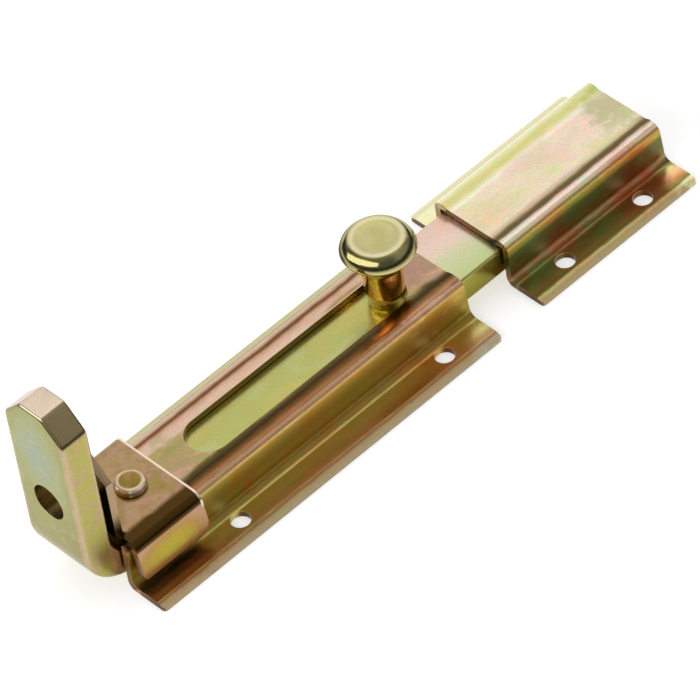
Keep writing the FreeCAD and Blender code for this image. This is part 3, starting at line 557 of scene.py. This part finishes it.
# Knob, from the screw's bore up: stem, collar, waisted neck, lip, shoulder, ring and dish
knob_low, knob_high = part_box("knob")
knob_x = (knob_low.x + knob_high.x) / 2
foot, top = knob_low.z / MM, knob_high.z / MM
knob_profile = rounded_profile([
    (0, foot + 10, 0), (3.05, foot + 10, 0), (3.05, foot, 0), (4.5, foot, 0), (4.5, foot + 3.8, 0.15),
    (4.9, foot + 3.8, 0.25), (4.95, foot + 5.2, 0.6), (5.3, foot + 13.4, 2.0), (9.0, foot + 16.7, 0.9),
    (9.45, foot + 17.3, 0.4), (9.45, foot + 17.9, 0.7), (8.95, foot + 19.3, 1.1),
    (8.05, foot + 20.4, 1.0), (6.9, top, 0.8), (5.7, top, 0.6), (4.5, top - 0.42, 0.8),
    (3.2, top - 0.5, 0.8), (0, top - 0.46, 0)])
knob_plate = turned_finish(
    "knob_plate", knob_x, (foot + 13, foot + 16),
    [(0.36, (0.53, 0.49, 0.19)), (0.50, (0.57, 0.52, 0.23)), (0.64, (0.61, 0.52, 0.27))],
    # Both rings are painted light: a pale highlight on the flat top rim round the dish, and a dark reflection
    # round the head's shoulder.
    [(6.2, 0.1, 0.9, top - 0.4, (0.74, 0.66, 0.40)), (8.3, 0.8, 0.8, foot + 18.6, (0.32, 0.29, 0.12))])
turned_piece("knob", "turned_knob", knob_x, knob_profile, knob_plate)

# Rivet, from its sunk tail up: shank, rim and flattened crown
rivet_low, rivet_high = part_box("saddle_rivet")
rivet_x = (rivet_low.x + rivet_high.x) / 2
tail, crown = rivet_low.z / MM, rivet_high.z / MM
rivet_profile = rounded_profile([
    (0, tail, 0), (3.4, tail, 0), (2.5, tail + 0.9, 0), (2.5, crown - 2.1, 0),
    (3.95, crown - 2.1, 0.15), (4.1, crown - 1.8, 0.2), (4.0, crown - 0.7, 0.7),
    (3.0, crown - 0.02, 0.7), (2.4, crown - 0.12, 0.3), (0, crown - 0.2, 0)])
rivet_plate = turned_finish(
    "rivet_plate", rivet_x, (crown - 3, crown - 2),
    [(0.36, (0.24, 0.16, 0.03)), (0.50, (0.28, 0.18, 0.04)), (0.64, (0.34, 0.21, 0.07))],
    # The pale ring is a painted highlight on the rounded rim of the head.
    [(3.70, 0.40, 0.9, crown - 1.4, (0.88, 0.70, 0.50))], gloss=0.24)
turned_piece("saddle_rivet", "saddle_rivet_head", rivet_x, rivet_profile, rivet_plate)

screw_plate = turned_finish(
    "screw_plate", knob_x, (0, 3),
    [(0.36, (0.60, 0.50, 0.16)), (0.50, (0.64, 0.50, 0.18)), (0.64, (0.62, 0.44, 0.20))])
frame["nodes"]["knob_screw"].data.materials.clear()
frame["nodes"]["knob_screw"].data.materials.append(screw_plate)


# Studio: floor, lamp, world and camera

FLOOR_GLOW = 0.5
FLOOR_HALF = 3
FLOOR_LEVEL = -0.02 * MM


def floor_finish():
    """Pale floor: it shines a little by itself where the camera or a polished face sees it, so that it
    reads as white there and keeps the shadow. Polished faces see it dark behind the knob, and far away
    except behind the part's keep end."""
    f = Finish("studio_floor")
    path = f.node("ShaderNodeLightPath")
    behind_knob = f.times(f.band(f.y, 0.060, 0.022, 0.015), f.band(f.x, 0.018, 0.030, 0.020))
    keep_end = f.times(f.span(f.x, -0.02, 0.04), f.span(f.y, 0.0, 0.06))
    far_away = f.times(f.span(f.reach(f.x, f.y), 0.13, 0.26), f.minus(1.0, keep_end))
    dark = f.times(f.math("MAXIMUM", behind_knob, far_away), path.outputs["Is Glossy Ray"])
    pale = f.mix(f.noise(4 * MM, detail=2), (0.80, 0.80, 0.80), (0.82, 0.82, 0.82))
    f.wire(f.shader.inputs["Base Color"], f.mix(f.times(dark, 0.8), pale, (0.05, 0.05, 0.05)))
    f.shader.inputs["Roughness"].default_value = 0.9
    f.shader.inputs["Specular IOR Level"].default_value = 0.1
    in_metal = f.times(path.outputs["Is Glossy Ray"], f.minus(1.0, f.times(dark, 0.9)))
    seen = f.math("MAXIMUM", path.outputs["Is Camera Ray"], in_metal)
    f.shader.inputs["Emission Color"].default_value = (1, 1, 1, 1)
    f.wire(f.shader.inputs["Emission Strength"], f.times(seen, FLOOR_GLOW))
    return f.material


floor_mesh = bpy.data.meshes.new("studio_floor")
floor_mesh.from_pydata([(x * FLOOR_HALF, y * FLOOR_HALF, FLOOR_LEVEL)
                        for x, y in ((-1, -1), (1, -1), (1, 1), (-1, 1))], [], [(0, 1, 2, 3)])
floor = bpy.data.objects.new("studio_floor", floor_mesh)
floor.data.materials.append(floor_finish())
bpy.context.scene.collection.objects.link(floor)


def softbox(name, direction, along, distance, width, height, radiance):
    """Rectangular lamp that faces the part from a direction, its width laid along another;
    its power gives the wanted radiance: pi * area * radiance."""
    data = bpy.data.lights.new(name, "AREA")
    data.shape = "RECTANGLE"
    data.size, data.size_y = width, height
    data.energy = math.pi * width * height * radiance
    lamp = bpy.data.objects.new(name, data)
    toward = Vector(direction).normalized()
    level = Vector(along) - toward * toward.dot(Vector(along))
    level.normalize()
    turn = Matrix((level, toward.cross(level), toward)).transposed()
    lamp.matrix_world = Matrix.Translation(toward * distance) @ turn.to_4x4()
    bpy.context.scene.collection.objects.link(lamp)


softbox("left_softbox", direction=(-0.81, 0.174, 0.56), along=(0, 0.96, -0.29), distance=1.0,
        width=1.9, height=0.42, radiance=2.7)

# World: a dim dome that brightens upwards, a bright wall behind, a front fill, and a low glow behind
world = bpy.data.worlds.new("studio")
bpy.context.scene.world = world
world.use_nodes = True
sky = Nodes(world.node_tree)
dx, dy, dz = sky.parts(sky.node("ShaderNodeTexCoord").outputs["Generated"])
risen = sky.span(dz, 0.10, 0.42)
overhead = sky.span(dz, 0.60, 0.95)
behind = sky.times(risen, sky.span(dy, -0.32, 0.05), sky.span(dx, -0.50, 0.10))
front = sky.times(sky.span(dy, -0.10, -0.45), sky.span(dx, -0.05, 0.35), sky.span(dz, 0.22, 0.48))
low = sky.times(sky.span(dy, 0.45, 0.70), sky.span(dx, 0.0, 0.25), sky.span(dz, 0.42, 0.18))
dome = sky.add(0.05, sky.times(risen, 0.15), sky.times(overhead, 0.20), sky.times(behind, 0.72),
               sky.times(front, 0.35), sky.times(low, 0.62))
seen_plain = sky.node("ShaderNodeLightPath").outputs["Is Camera Ray"]
background = sky.tree.nodes["Background"]
sky.wire(background.inputs["Strength"], sky.math("MAXIMUM", dome, seen_plain))
background.inputs["Color"].default_value = (1, 1, 1, 1)

bpy.context.scene.view_settings.view_transform = "Standard"

# Camera, as solved from the photograph
CAMERA_PLACE = Vector((-0.6748, -0.9161, 1.2056))
CAMERA_RIGHT = Vector((0.7102, -0.6939, -0.1189))
CAMERA_UP = Vector((0.5669, 0.4635, 0.6810))

lens = bpy.data.cameras.new("camera")
lens.lens = 357.7
lens.sensor_width = 36
camera = bpy.data.objects.new("camera", lens)
turn = Matrix((CAMERA_RIGHT, CAMERA_UP, CAMERA_RIGHT.cross(CAMERA_UP))).transposed()
camera.matrix_world = Matrix.Translation(CAMERA_PLACE) @ turn.to_4x4()
bpy.context.scene.collection.objects.link(camera)
bpy.context.scene.camera = camera
